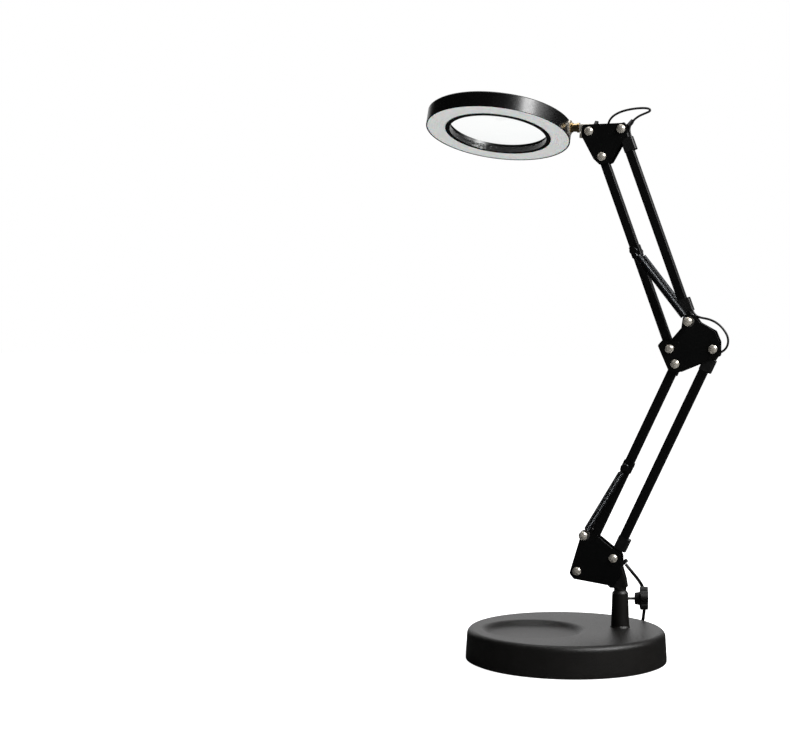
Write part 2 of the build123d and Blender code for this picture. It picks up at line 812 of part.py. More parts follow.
block_plane = Plane(origin=head_centre + stem_dir * block_start, x_dir=stem_up, z_dir=stem_dir)
with BuildPart() as swivel_block:
    with BuildSketch(ARM.offset(4.0)):
        with Locations(P):
            Circle(5.2)
    extrude(amount=-8.0)
    with BuildSketch(block_plane):
        RectangleRounded(BLOCK_H, 8.0, 1.5)
    extrude(amount=BLOCK_L)
    with BuildSketch(block_plane):
        Circle(STEM_R + RUNNING)
    extrude(amount=STEM_SEAT + 0.3, mode=Mode.SUBTRACT)
    with BuildSketch(ARM.offset(5)):
        with Locations(P):
            Circle(BOLT_R + RUNNING)
    extrude(amount=-10, mode=Mode.SUBTRACT)
    thumb_plane = Plane(origin=stem_point - stem_dir * THUMB_BACK, x_dir=stem_dir, z_dir=-stem_up)
    with BuildSketch(thumb_plane.offset(STEM_R)):
        Circle(1.25 + RUNNING)
    extrude(amount=3, mode=Mode.SUBTRACT)
save(swivel_block, "swivel_block")

with BuildPart() as stem_thumb_screw:
    with BuildSketch(thumb_plane.offset(STEM_R + 0.15)):
        Circle(1.25)
    extrude(amount=3)
    with BuildSketch(thumb_plane.offset(5.0)):
        Circle(2.2)
        with PolarLocations(2.2, 10):
            Circle(0.35, mode=Mode.SUBTRACT)
    extrude(amount=4.2)
save(stem_thumb_screw, "stem_thumb_screw")

# ---------------------------------------------------------------- leads


def lead_tube(name, points, radius):
    """A lead as straight runs joined by tangent arcs, each as large as its two runs allow."""
    radii = []
    for before, here, after in zip(points, points[1:], points[2:]):
        first = Vector(*here) - Vector(*before)
        second = Vector(*after) - Vector(*here)
        turn = radians(first.get_angle(second))
        radii.append(0.45 * min(first.length, second.length) / tan(turn / 2))
    with BuildLine() as path:
        FilletPolyline(*points, radius=radii)
    wire = path.wire()
    with BuildPart() as tube:
        with BuildSketch(Plane(origin=points[0], z_dir=Vector(*points[1]) - Vector(*points[0]))):
            Circle(radius)
        sweep(path=wire)
    share = tube.part.volume / (pi * radius**2 * wire.length)
    print(name, "length", round(wire.length, 1), "volume share", round(share, 4))
    save(tube, name)


def beside_bar(start, end, along):
    """A point on the lead beside a bar, on the bar's outer side, at a distance from the bar's first pivot."""
    place = bar_plane(start, end, along).from_local_coords(Vector(0, BAR / 2 + LEAD_R + 0.1, 0))
    return (place.X, place.Y, place.Z)


def arm_route(points):
    """World points from (x, z, distance to the rear of the arm plane)."""
    return [(x, ARM_Y + rear, z) for x, z, rear in points]


loop_top_end = beside_bar(H, F, SLEEVE_AT - SLEEVE_GAP)
elbow_loop_start = beside_bar(H, F, dist(H, F) - SLEEVE_AT + SLEEVE_GAP)
elbow_loop_end = beside_bar(D, B, SLEEVE_AT - SLEEVE_GAP)

top_loop = arm_route(
    [
        (31.0, 476.5, 0), (31.6, 482.0, -0.4), (35.2, 487.0, -1.2), (41.4, 490.4, -2.0), (49.0, 492.4, -2.4),
        (57.0, 493.4, -2.2), (64.5, 493.6, -1.4), (69.2, 492.8, -0.2), (69.6, 490.8, 0.8), (65.0, 489.2, 1.6),
        (58.6, 486.9, 1.8), (53.2, 482.4, 1.0), (50.0, 475.5, 0.2),
    ]
)
lead_tube("top_loop", [*top_loop, loop_top_end], LEAD_R)

elbow_loop_high = arm_route([(110.5, 308.9, 0), (115.8, 307.0, 0.3), (123.0, 305.8, 0.8), (130.4, 302.2, 1.0)])
elbow_loop_low = arm_route(
    [(136.2, 296.2, 1.0), (139.6, 290.0, 0.8), (139.8, 283.8, 0.6), (137.2, 278.8, 0.4), (132.0, 275.8, 0.2)]
)
elbow_middle = (Vector(*elbow_loop_high[-1]) + Vector(*elbow_loop_low[0])) * 0.5
lead_tube("elbow_loop_upper", [elbow_loop_start, *elbow_loop_high, tuple(elbow_middle)], LEAD_R)
lead_tube("elbow_loop_lower", [tuple(elbow_middle), *elbow_loop_low, elbow_loop_end], LEAD_R)

# The tail leaves the clip, passes behind the clamp knob and comes down behind the base, to the controller.
tail_exit = STORE.to_local_coords(Vector(49.2, ARM_Y, 85.2))
tail_route = [
    (tail_exit.X, tail_exit.Y, tail_exit.Z), (58.1, 8.4, 79.6), (62.4, 11.0, 74.2), (65.6, 16.2, 69.6),
    (68.6, 23.2, 64.4), (70.8, 31.2, 57.8), (72.0, 39.8, 49.6), (72.4, 48.2, 40.4), (72.0, 56.4, 30.8),
    (71.0, 64.4, 20.6), (69.4, 72.0, 10.8), (66.6, 79.8, 3.6), (62.6, 87.6, 1.7), (57.4, 94.8, 1.9),
    (52.0, 99.8, 3.8), (CONTROL_AT[0] + CONTROL_L / 2 + COLLAR_L, CONTROL_AT[1], CONTROL_CORD_Z),
]
lead_tube("tail_lead", [tuple(store_point(*point)) for point in tail_route], TAIL_R)

# ---------------------------------------------------------------- controller, coil and plug

control_left = CONTROL_AT[0] - CONTROL_L / 2
buttons = {
    "dim_button": CONTROL_AT[0] - BUTTON_STEP,
    "power_button": CONTROL_AT[0],
    "bright_button": CONTROL_AT[0] + BUTTON_STEP,
}
button_spots = [(x, CONTROL_AT[1]) for x in buttons.values()]

with BuildPart() as control_base:
    with BuildSketch(STORE):
        with Locations(CONTROL_AT):
            RectangleRounded(CONTROL_L, CONTROL_W, 5)
    extrude(amount=CONTROL_H / 2)
    chamfer(control_base.faces().sort_by(Axis.Z)[0].edges(), 0.8)
    with BuildSketch(STORE.offset(1.6)):
        with Locations(CONTROL_AT):
            RectangleRounded(CONTROL_L - 3.2, CONTROL_W - 3.2, 3.6)
    extrude(amount=CONTROL_H, mode=Mode.SUBTRACT)
    for end in (control_left - COLLAR_L, control_left + CONTROL_L - 1):
        origin = store_point(end, CONTROL_AT[1], CONTROL_CORD_Z)
        with BuildSketch(Plane(origin=origin, x_dir=(0, 0, 1), z_dir=STORE.x_dir)):
            Circle(2.6)
        extrude(amount=COLLAR_L + 1)
save(control_base, "control_base")

with BuildPart() as control_cover:
    with BuildSketch(STORE.offset(CONTROL_H / 2)):
        with Locations(CONTROL_AT):
            RectangleRounded(CONTROL_L, CONTROL_W, 5)
    extrude(amount=CONTROL_H / 2)
    fillet(control_cover.faces().sort_by(Axis.Z)[-1].edges(), 1.5)
    with BuildSketch(STORE.offset(CONTROL_H / 2)):
        with Locations(CONTROL_AT):
            RectangleRounded(CONTROL_L - 3.2, CONTROL_W - 3.2, 3.6)
    extrude(amount=CONTROL_H / 2 - 1.4, mode=Mode.SUBTRACT)
    with BuildSketch(STORE):
        with Locations(*button_spots):
            RectangleRounded(7.6, 9.6, 2.2)
    extrude(amount=CONTROL_H + 1, mode=Mode.SUBTRACT)
    for end in (control_left - 1, control_left + CONTROL_L - 3):
        origin = store_point(end, CONTROL_AT[1], CONTROL_CORD_Z)
        with BuildSketch(Plane(origin=origin, x_dir=(0, 0, 1), z_dir=STORE.x_dir)):
            Circle(2.6)
        extrude(amount=4, mode=Mode.SUBTRACT)
save(control_cover, "control_cover")

for button_name, button_x in buttons.items():
    with BuildPart() as button:
        with BuildSketch(STORE.offset(CONTROL_H - 3.2)):
            with Locations((button_x, CONTROL_AT[1])):
                RectangleRounded(7.0, 9.0, 2.0)
        extrude(amount=4.4)
        fillet(button.faces().sort_by(Axis.Z)[-1].edges(), 0.7)
    save(button, button_name)

with BuildPart() as lead_coil:
    with BuildSketch(Plane(origin=store_point(*COIL_AT, 0), x_dir=STORE.x_dir, z_dir=-STORE.y_dir)):
        with Locations(((COIL_OUT_R + COIL_IN_R) / 2, COIL_Z + COIL_H / 2)):
            RectangleRounded(COIL_OUT_R - COIL_IN_R, COIL_H, 3.5)
    revolve(axis=Axis(store_point(*COIL_AT, 0), (0, 0, 1)))
    coil_start = store_point(control_left - COLLAR_L, CONTROL_AT[1], CONTROL_CORD_Z)
    with BuildSketch(Plane(origin=coil_start, z_dir=-STORE.x_dir)):
        Circle(TAIL_R)
    extrude(amount=14)
    with BuildSketch(Plane(origin=store_point(PLUG_START, PLUG_Y, PLUG_Z), z_dir=-STORE.x_dir)):
        Circle(TAIL_R)
    extrude(amount=18)
save(lead_coil, "lead_coil")

tie_centre = store_point(COIL_AT[0] - (COIL_OUT_R + COIL_IN_R) / 2, COIL_AT[1], COIL_Z + COIL_H / 2)
with BuildPart() as coil_tie:
    tie_start = tie_centre + STORE.y_dir * (TIE_W / 2)
    with BuildSketch(Plane(origin=tie_start, x_dir=STORE.x_dir, z_dir=-STORE.y_dir)):
        RectangleRounded(COIL_OUT_R - COIL_IN_R + 2 * TIE_T, COIL_H + 2 * TIE_T, 3.9)
    extrude(amount=TIE_W)
    add(lead_coil.part, mode=Mode.SUBTRACT)
save(coil_tie, "coil_tie")

plug_start = store_point(PLUG_START, PLUG_Y, PLUG_Z)
plug_plane = Plane(origin=plug_start, x_dir=STORE.y_dir, z_dir=STORE.x_dir)
with BuildPart() as plug_body:
    with BuildSketch(plug_plane):
        Circle(TAIL_R + 0.4)
    with BuildSketch(plug_plane.offset(BOOT_L)):
        Circle(3.6)
    loft()
    with BuildSketch(plug_plane.offset(BOOT_L)):
        RectangleRounded(PLUG_W, 2 * PLUG_Z, 2.5)
    extrude(amount=PLUG_L)
    fillet(plug_body.faces().sort_by(Axis((0, 0, 0), STORE.x_dir))[-1].edges(), 0.8)
save(plug_body, "plug_body")

with BuildPart() as plug_shell:
    with BuildSketch(plug_plane.offset(BOOT_L + PLUG_L)):
        Rectangle(12.0, 4.5)
        Rectangle(11.4, 3.9, mode=Mode.SUBTRACT)
    extrude(amount=PLUG_SHELL_L)
    with BuildSketch(plug_plane.offset(BOOT_L + PLUG_L)):
        with Locations((0, -0.9)):
            Rectangle(11.4, 2.1)
    extrude(amount=PLUG_SHELL_L - 0.6)
save(plug_shell, "plug_shell")
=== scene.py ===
"""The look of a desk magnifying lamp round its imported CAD.

Materials, wound springs, leads, light and camera.
"""

import json
import math

import bpy
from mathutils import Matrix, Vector


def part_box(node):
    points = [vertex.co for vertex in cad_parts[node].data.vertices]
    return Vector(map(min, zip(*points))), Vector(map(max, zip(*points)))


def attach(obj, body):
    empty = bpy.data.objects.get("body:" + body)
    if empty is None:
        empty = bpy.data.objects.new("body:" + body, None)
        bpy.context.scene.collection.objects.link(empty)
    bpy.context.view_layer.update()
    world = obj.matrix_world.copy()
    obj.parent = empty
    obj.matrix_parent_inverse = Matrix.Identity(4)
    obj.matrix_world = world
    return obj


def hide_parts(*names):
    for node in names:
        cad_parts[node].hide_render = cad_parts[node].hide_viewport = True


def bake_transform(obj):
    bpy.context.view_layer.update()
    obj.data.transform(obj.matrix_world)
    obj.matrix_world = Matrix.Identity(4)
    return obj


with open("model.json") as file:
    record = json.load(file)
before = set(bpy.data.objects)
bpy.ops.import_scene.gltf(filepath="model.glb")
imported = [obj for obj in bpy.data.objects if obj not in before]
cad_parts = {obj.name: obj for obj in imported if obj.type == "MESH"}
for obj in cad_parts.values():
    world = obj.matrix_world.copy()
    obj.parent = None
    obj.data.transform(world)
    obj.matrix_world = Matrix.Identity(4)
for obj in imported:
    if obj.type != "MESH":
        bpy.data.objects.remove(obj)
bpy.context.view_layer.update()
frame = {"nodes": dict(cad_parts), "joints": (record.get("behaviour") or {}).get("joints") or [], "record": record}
nodes = frame["nodes"]
joints = {joint["name"]: joint for joint in frame["joints"]}


def pivot(name):
    """The place of a joint, in metres."""
    return Vector(joints[name]["pos_m"])


def middle(name):
    """The centre of a CAD node's box."""
    low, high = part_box(name)
    return (low + high) / 2


MM = 0.001

# The arms swing in one plane square to Y.
arm_y = pivot("base_swivel").y

# The stored lead lies in a frame turned about +Z, as in the CAD.
STORE_ANGLE = math.radians(15)
store_x = Vector((math.cos(STORE_ANGLE), math.sin(STORE_ANGLE), 0))
store_y = Vector((-math.sin(STORE_ANGLE), math.cos(STORE_ANGLE), 0))


def store_point(x, y, z):
    """A point in the CAD's frame from one in the frame of the stored lead."""
    return store_x * x + store_y * y + Vector((0, 0, z))


def store_route(points):
    """Points in metres from (x, y, z) in millimetres in the frame of the stored lead."""
    return [store_point(x * MM, y * MM, z * MM) for x, y, z in points]


# ---------------------------------------------------------------- shader helpers


def math_node(tree, operation, first, second=0.0):
    """The output of a math node; each value is a number or another node's output."""
    node = tree.nodes.new("ShaderNodeMath")
    node.operation = operation
    for index, value in enumerate((first, second)):
        if isinstance(value, (int, float)):
            node.inputs[index].default_value = value
        else:
            tree.links.new(value, node.inputs[index])
    return node.outputs["Value"]


class Shader:
    """A node material with short calls for the nodes that the materials below share."""

    def __init__(self, name):
        self.material = bpy.data.materials.new(name)
        self.material.use_nodes = True
        self.tree = self.material.node_tree
        self.bsdf = self.tree.nodes["Principled BSDF"]
        self.place = self.tree.nodes.new("ShaderNodeTexCoord").outputs["Object"]

    def link(self, output, target):
        self.tree.links.new(output, target)

    def set(self, **values):
        """Sets the shader's own sockets, such as roughness=0.4 or coat_weight=1."""
        for key, value in values.items():
            self.bsdf.inputs[key.replace("_", " ").title().replace("Ior", "IOR")].default_value = value

    def noise(self, scale, detail=2.0, roughness=0.5, stretch=None):
        """A noise pattern with so many features to the metre."""
        node = self.tree.nodes.new("ShaderNodeTexNoise")
        node.inputs["Scale"].default_value = scale
        node.inputs["Detail"].default_value = detail
        node.inputs["Roughness"].default_value = roughness
        source = self.place
        if stretch:
            mapping = self.tree.nodes.new("ShaderNodeMapping")
            mapping.inputs["Scale"].default_value = stretch
            self.link(source, mapping.inputs["Vector"])
            source = mapping.outputs["Vector"]
        self.link(source, node.inputs["Vector"])
        return node.outputs["Fac"]

    def ramp(self, factor, low, high, start=0.3, end=0.7):
        """A colour that runs from low to high as factor goes from start to end."""
        node = self.tree.nodes.new("ShaderNodeValToRGB")
        node.color_ramp.elements[0].position = start
        node.color_ramp.elements[0].color = (*low, 1)
        node.color_ramp.elements[1].position = end
        node.color_ramp.elements[1].color = (*high, 1)
        self.link(factor, node.inputs["Fac"])
        return node.outputs["Color"]

    def span(self, factor, low, high, start=0.3, end=0.7):
        """A number that runs from low to high as factor goes from start to end."""
        node = self.tree.nodes.new("ShaderNodeMapRange")
        node.inputs["From Min"].default_value = start
        node.inputs["From Max"].default_value = end
        node.inputs["To Min"].default_value = low
        node.inputs["To Max"].default_value = high
        self.link(factor, node.inputs["Value"])
        return node.outputs["Result"]

    def math(self, operation, first, second=0.0):
        return math_node(self.tree, operation, first, second)

    def base_colour(self, factor, low, high, start=0.3, end=0.7):
        """Varies the surface's colour from low to high."""
        self.link(self.ramp(factor, low, high, start, end), self.bsdf.inputs["Base Color"])

    def gloss(self, factor, low, high):
        """Varies the surface's roughness from low to high."""
        self.link(self.span(factor, low, high), self.bsdf.inputs["Roughness"])

    def bump(self, height, depth, strength=1.0):
        """Relief of so many metres."""
        node = self.tree.nodes.new("ShaderNodeBump")
        node.inputs["Distance"].default_value = depth
        node.inputs["Strength"].default_value = strength
        self.link(height, node.inputs["Height"])
        self.link(node.outputs["Normal"], self.bsdf.inputs["Normal"])

    def along(self, centre, direction):
        """How far a point lies from centre along direction."""
        node = self.tree.nodes.new("ShaderNodeVectorMath")
        node.operation = "DOT_PRODUCT"
        node.inputs[1].default_value = direction
        self.link(self.place, node.inputs[0])
        return self.math("SUBTRACT", node.outputs["Value"], centre.dot(direction))

    def reach(self, centre, first, second):
        """How far a point lies from the axis through centre that is square to both directions."""
        one = self.along(centre, first)
        two = self.along(centre, second)
        squares = self.math("ADD", self.math("MULTIPLY", one, one), self.math("MULTIPLY", two, two))
        return self.math("SQRT", squares)


def tone(level, warmth=0.0):
    """A near-grey colour; warmth tips it towards red."""
    return (level * (1 + warmth), level, level * (1 - warmth))


def painted(name, level, warmth, rough, grain, depth, specular=0.5):
    """Powder-coated or painted metal with a fine grain, faint clouding and uneven gloss."""
    shader = Shader(name)
    cloud = shader.noise(60, 3)
    fine = shader.noise(grain, 3, 0.6)
    shader.base_colour(cloud, tone(level * 0.9, warmth), tone(level * 1.1, warmth))
    shader.gloss(fine, rough - 0.05, rough + 0.05)
    shader.bump(fine, depth)
    shader.set(specular_ior_level=specular)
    return shader.material


def metal(name, low, high, rough, grain=900, depth=0.00001, stretch=None, metallic=1.0):
    """Bare or plated metal with fine scratches and slight tarnish."""
    shader = Shader(name)
    shader.base_colour(shader.noise(260, 4), low, high)
    shader.gloss(shader.noise(500, 3), rough * 0.75, rough * 1.3)
    shader.bump(shader.noise(grain, 2, 0.5, stretch), depth, 0.6)
    shader.set(metallic=metallic)
    return shader.material


def plastic(name, level, rough, warmth=0.0, grain=2500, depth=0.00001):
    """Moulded plastic or rubber with a spark-eroded grain."""
    shader = Shader(name)
    shader.base_colour(shader.noise(90, 2), tone(level * 0.9, warmth), tone(level * 1.12, warmth))
    shader.gloss(shader.noise(320, 3), rough - 0.05, rough + 0.05)
    shader.bump(shader.noise(grain, 2), depth)
    return shader.material


# ---------------------------------------------------------------- materials

# The head's own frame: along the stem, out of the ring's face and across it. HEAD_ROLL is the CAD's.
HEAD_ROLL = math.radians(15.8)
stem_dir = Vector(joints["head_roll"]["axis"])
stem_dir *= math.copysign(1, stem_dir.x)
head_centre = middle("lens")
stem_up = Vector((-stem_dir.z, 0, stem_dir.x))
head_up = stem_up * math.cos(HEAD_ROLL) + Vector((0, 1, 0)) * math.sin(HEAD_ROLL)
head_side = head_up.cross(stem_dir)


RING_PITCH = 0.0022


def diffuser_material():
    """Opal acrylic with faint turned rings."""
    shader = Shader("opal_diffuser")
    radius = shader.reach(head_centre, stem_dir, head_side)
    wave = shader.math("SINE", shader.math("MULTIPLY", radius, 2 * math.pi / RING_PITCH))
    level = shader.math("ADD", shader.math("MULTIPLY", wave, 0.25), shader.noise(300, 2))
    shader.base_colour(level, (0.66, 0.66, 0.65), (0.76, 0.76, 0.745), 0.1, 0.9)
    shader.bump(wave, 0.00003, 0.5)
    shader.set(roughness=0.42, subsurface_weight=0.25, subsurface_scale=0.004)
    return shader.material


def gloss_material():
    """Semi-gloss moulded black plastic with a soft flow pattern."""
    shader = Shader("gloss_black")
    shader.base_colour(shader.noise(60, 2), tone(0.002), tone(0.004))
    shader.gloss(shader.noise(400, 3), 0.23, 0.28)
    shader.bump(shader.noise(70, 1), 0.00003, 0.3)
    return shader.material


# Lower than real acrylic, so that the low view across the lens stays clear to its near edge.
LENS_IOR = 1.06


def glass_material():
    """Clear lens acrylic with the faintest green and a slight haze."""
    shader = Shader("lens_glass")
    shader.base_colour(shader.noise(40, 1), (0.97, 0.985, 0.98), (0.99, 0.995, 0.99))
    shader.gloss(shader.noise(150, 2), 0.0, 0.015)
    shader.set(transmission_weight=1.0, ior=LENS_IOR)
    return shader.material


def board_material():
    """White solder mask on the LED board."""
    shader = Shader("white_board")
    shader.base_colour(shader.noise(400, 2), (0.75, 0.75, 0.72), (0.85, 0.85, 0.82))
    shader.gloss(shader.noise(200, 2), 0.35, 0.5)
    return shader.material


finishes = {
    "base_paint": painted("textured_black", 0.0055, 0.12, 0.41, 900, 0.00028, 0.47),
    "arm_paint": painted("satin_black", 0.003, 0.0, 0.34, 1800, 0.00001, 0.2),
    "iron": metal("cast_iron", (0.10, 0.10, 0.10), (0.2, 0.19, 0.18), 0.6, 500, 0.0001),
    "foam": plastic("foam_pad", 0.012, 0.85, 0.0, 900, 0.0002),
    "nickel": metal(
        "warm_nickel", (0.72, 0.66, 0.56), (0.88, 0.84, 0.76), 0.28, depth=0.000003, metallic=0.75
    ),
    "zinc": metal("zinc_plate", (0.5, 0.5, 0.48), (0.68, 0.68, 0.66), 0.32),
    "steel": metal("plain_steel", (0.45, 0.45, 0.45), (0.62, 0.62, 0.61), 0.28),
    "brass": metal("polished_brass", (0.70, 0.50, 0.24), (0.85, 0.66, 0.38), 0.2),
    "black_plastic": plastic("matt_black_plastic", 0.004, 0.45),
    "gloss_black": gloss_material(),
    "diffuser": diffuser_material(),
    "board": board_material(),
    "glass": glass_material(),
    "black_spring": metal("black_spring_wire", (0.075, 0.08, 0.085), (0.12, 0.125, 0.13), 0.3),
    "lead_jacket": plastic("lead_jacket", 0.006, 0.42, 0.0, 3000, 0.000004),
    "button_rubber": plastic("button_rubber", 0.03, 0.6),
}

slots = {part["node"]: part["material_slot"] for part in frame["record"]["subparts"]}
for node_name, node in nodes.items():
    node.data.materials.clear()
    node.data.materials.append(finishes[slots[node_name]])


# ---------------------------------------------------------------- curves and tubes


def curve_object(name, points, thickness, kind="NURBS", detail=8, ring=4):
    """An open spline of one kind through or near the points, with a round section."""
    data = bpy.data.curves.new(name, "CURVE")
    data.dimensions = "3D"
    spline = data.splines.new(kind)
    spline.points.add(len(points) - 1)
    for target, point in zip(spline.points, points):
        target.co = (*point, 1)
    if kind == "NURBS":
        spline.order_u = 3
        spline.use_endpoint_u = True
    data.resolution_u = detail
    data.bevel_depth = thickness / 2
    data.bevel_resolution = ring
    data.use_fill_caps = True
    thing = bpy.data.objects.new(name, data)
    bpy.context.scene.collection.objects.link(thing)
    return thing


def mesh_of(thing):
    """A new mesh of a curve as it is drawn."""
    drawn = thing.evaluated_get(bpy.context.evaluated_depsgraph_get())
    return bpy.data.meshes.new_from_object(drawn)


def centreline(points, detail=8):
    """Points along the smooth line of a NURBS route."""
    line = curve_object("route", points, 0.0, detail=detail)
    line.data.use_fill_caps = False
    mesh = mesh_of(line)
    found = [vertex.co.copy() for vertex in mesh.vertices]
    bpy.data.objects.remove(line)
    bpy.data.meshes.remove(mesh)
    return found


def line_length(points):
    """The length of a chain of straight steps."""
    return sum((b - a).length for a, b in zip(points, points[1:]))


def to_mesh(thing):
    """The same object as a smooth mesh with no parent."""
    mesh = mesh_of(thing)
    name = thing.name
    bpy.data.objects.remove(thing)
    solid = bpy.data.objects.new(name, mesh)
    bpy.context.scene.collection.objects.link(solid)
    for polygon in mesh.polygons:
        polygon.use_smooth = True
    return solid


def finish_piece(thing, slot_name, *replaced):
    """Gives a piece the material of its slot, and hides the CAD nodes that it stands for."""
    thing.data.materials.clear()
    thing.data.materials.append(finishes[slot_name])
    if replaced:
        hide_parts(*replaced)
    return thing


# ---------------------------------------------------------------- springs

WIRE = 0.0011
COIL_R = 0.00265
COIL_PITCH = 0.00118
COIL_STEPS = 14
# Each end is a ring round its pin, then a shank that meets the wound body HOOK_REACH from the pin.
HOOK_R = 0.00275
HOOK_REACH = 0.0057
SHANK_START = HOOK_R + 0.0008
SHANK_END = HOOK_REACH - 0.0009
SHANK_SHIFT = 0.0002
# The outer radius of one CAD spring.
CAD_SPRING_R = 0.0032


def spring_line(low, high):
    """The wire's line: a ring hook round each pin and a close-wound body between them."""
    along = (high - low).normalized()
    out = Vector((0, 1, 0))
    side = along.cross(out)
    body = (high - low).length - 2 * HOOK_REACH
    steps = COIL_STEPS * round(body / COIL_PITCH)

    def hook(pin, sign):
        """The ring from its open end, then the straight shank."""
        inward = along * sign
        ring = [math.radians(angle) for angle in range(40, 361, 20)]
        loop = [pin + (inward * math.cos(a) + side * math.sin(a)) * HOOK_R for a in ring]
        return [*loop, pin + inward * SHANK_START + side * SHANK_SHIFT, pin + inward * SHANK_END]

    wound = []
    for step in range(steps + 1):
        share = step / steps
        angle = 2 * math.pi * step / COIL_STEPS
        ease = min(1.0, step / COIL_STEPS * 2, (steps - step) / COIL_STEPS * 2)
        radial = side * math.cos(angle) + out * math.sin(angle)
        wound.append(low + along * (HOOK_REACH + body * share) + radial * (COIL_R * ease))
    return [*hook(low, 1), *wound, *reversed(hook(high, -1))]


def wound_springs(kind, low, high):
    """A pair of extension springs between two bodies, in place of the CAD pair."""
    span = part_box(kind + "_springs")
    offset = (span[1].y - span[0].y) / 2 - CAD_SPRING_R
    for label, shift in (("front", -offset), ("rear", offset)):
        start = Vector((low.x, arm_y + shift, low.z))
        end = Vector((high.x, arm_y + shift, high.z))
        line = spring_line(start, end)
        spring = to_mesh(curve_object(f"{kind}_spring_{label}", line, WIRE, "POLY", 1, 2))
        finish_piece(spring, "black_spring", kind + "_springs")
        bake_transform(spring)


lower_spring_studs = Vector((0.013, arm_y, 0.1105))
wound_springs("lower", lower_spring_studs, middle("lower_spring_clip"))
wound_springs("upper", pivot("upper_arm"), middle("upper_spring_clip"))

# ---------------------------------------------------------------- leads

LOOP_D = 0.002
TAIL_D = 0.003
# A loop leaves its bar's sleeve this far from the pivot, and lies this far from the bar's centreline.
SLEEVE_AT = 0.00865
BESIDE = 0.0051


def beside_bar(start, end, along):
    """A point on the lead beside a bar, on the bar's outer side."""
    way = (end - start).normalized()
    outer = Vector((-way.z, 0, way.x))
    return start + way * along + outer * BESIDE


def arm_route(points):
    """Points in metres from (x, z, distance to the rear of the arm plane) in millimetres."""
    return [Vector((x * MM, arm_y + rear * MM, z * MM)) for x, z, rear in points]


lower_b, lower_d = pivot("lower_arm"), pivot("elbow_hinge")
upper_f, upper_h = pivot("upper_arm"), pivot("top_hinge")
upper_length = (upper_h - upper_f).length

top_loop_points = [
    *arm_route(
        [
            (31.0, 476.5, 0), (31.6, 482.0, -0.4), (35.2, 487.0, -1.2), (41.4, 490.4, -2.0),
            (49.0, 492.4, -2.4), (57.0, 493.4, -2.2), (64.5, 493.6, -1.4), (69.2, 492.8, -0.2),
            (69.6, 490.8, 0.8), (65.0, 489.2, 1.6), (58.6, 486.9, 1.8), (53.2, 482.4, 1.0),
            (50.0, 475.5, 0.2),
        ]
    ),
    beside_bar(upper_h, upper_f, SLEEVE_AT),
]
high_points = arm_route([(110.5, 308.9, 0), (115.8, 307.0, 0.3), (123.0, 305.8, 0.8), (130.4, 302.2, 1.0)])
low_points = arm_route(
    [(136.2, 296.2, 1.0), (139.6, 290.0, 0.8), (139.8, 283.8, 0.6), (137.2, 278.8, 0.4), (132.0, 275.8, 0.2)]
)
elbow_middle = (high_points[-1] + low_points[0]) / 2
upper_loop_points = [beside_bar(upper_h, upper_f, upper_length - SLEEVE_AT), *high_points, elbow_middle]
lower_loop_points = [elbow_middle, *low_points, beside_bar(lower_d, lower_b, SLEEVE_AT)]


def lead_loop(name, points, node):
    """A loop of lead from one body to another across their joint."""
    loop = to_mesh(curve_object(name, points, LOOP_D, detail=10))
    finish_piece(loop, "lead_jacket", node)
    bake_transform(loop)


lead_loop("lead_loop_top", top_loop_points, "top_loop")
lead_loop("lead_loop_elbow_upper", upper_loop_points, "elbow_loop_upper")
lead_loop("lead_loop_elbow_lower", lower_loop_points, "elbow_loop_lower")

# The tail runs from the clip on the lower bracket, behind the clamp knob and down behind the base.
CONTROL_X, CONTROL_Y, CONTROL_Z = 0.019, 0.101, 0.0052
CONTROL_REACH = 0.027
tail_points = [
    Vector((0.0492, arm_y, 0.0852)),
    *store_route(
        [
            (58.1, 8.4, 79.6), (62.4, 11.0, 74.2), (65.6, 16.2, 69.6), (68.6, 23.2, 64.4),
            (70.8, 31.2, 57.8), (72.0, 39.8, 49.6), (72.4, 48.2, 40.4), (72.0, 56.4, 30.8),
            (71.0, 64.4, 20.6), (69.4, 72.0, 10.8), (66.6, 79.8, 3.6), (62.6, 87.6, 1.7),
            (57.4, 94.8, 1.9), (52.0, 99.8, 3.8),
        ]
    ),
    store_point(CONTROL_X + CONTROL_REACH, CONTROL_Y, CONTROL_Z),
]
tail_line = centreline(tail_points)
tail = to_mesh(curve_object("tail_lead_run", tail_points, TAIL_D, detail=8))
finish_piece(tail, "lead_jacket", "tail_lead")
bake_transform(tail)

# The rest of the lead leaves the controller, lies in a wound coil and ends in the plug.
COIL_X, COIL_Y = -0.030, 0.1205
PLUG_X, PLUG_Y, PLUG_Z = -0.004, 0.140, 0.0039
TURN_POINTS = 14
# The share of a turn after which the lead crosses over to the next one.
CROSSOVER = 0.6
# The radius and height of each turn: in along the middle, out over the top, down the outside, in along
# the floor and back out for the plug.
COIL_TURNS = (
    (0.0195, 0.0052), (0.0165, 0.0050), (0.0136, 0.0050), (0.0136, 0.0084),
    (0.0167, 0.0084), (0.0198, 0.0086), (0.0225, 0.0066), (0.0225, 0.0031),
    (0.0195, 0.0021), (0.0165, 0.0020), (0.0195, 0.0039),
)


def coil_points():
    """The turns as one line, from the side by the controller round to the side by the plug."""
    last = len(COIL_TURNS) - 1
    points = []
    steps = TURN_POINTS * last + TURN_POINTS // 2
    for step in range(steps + 1):
        turn = step / TURN_POINTS
        index = min(int(turn), last)
        share = turn - index
        here, there = COIL_TURNS[index], COIL_TURNS[min(index + 1, last)]
        ease = max(0.0, min(1.0, (share - CROSSOVER) / (1 - CROSSOVER)))
        radius = here[0] + (there[0] - here[0]) * ease
        height = here[1] + (there[1] - here[1]) * ease
        angle = -math.pi / 2 - 2 * math.pi * turn
        x = COIL_X + radius * math.cos(angle)
        y = COIL_Y + radius * math.sin(angle)
        points.append(store_point(x, y, height))
    return points


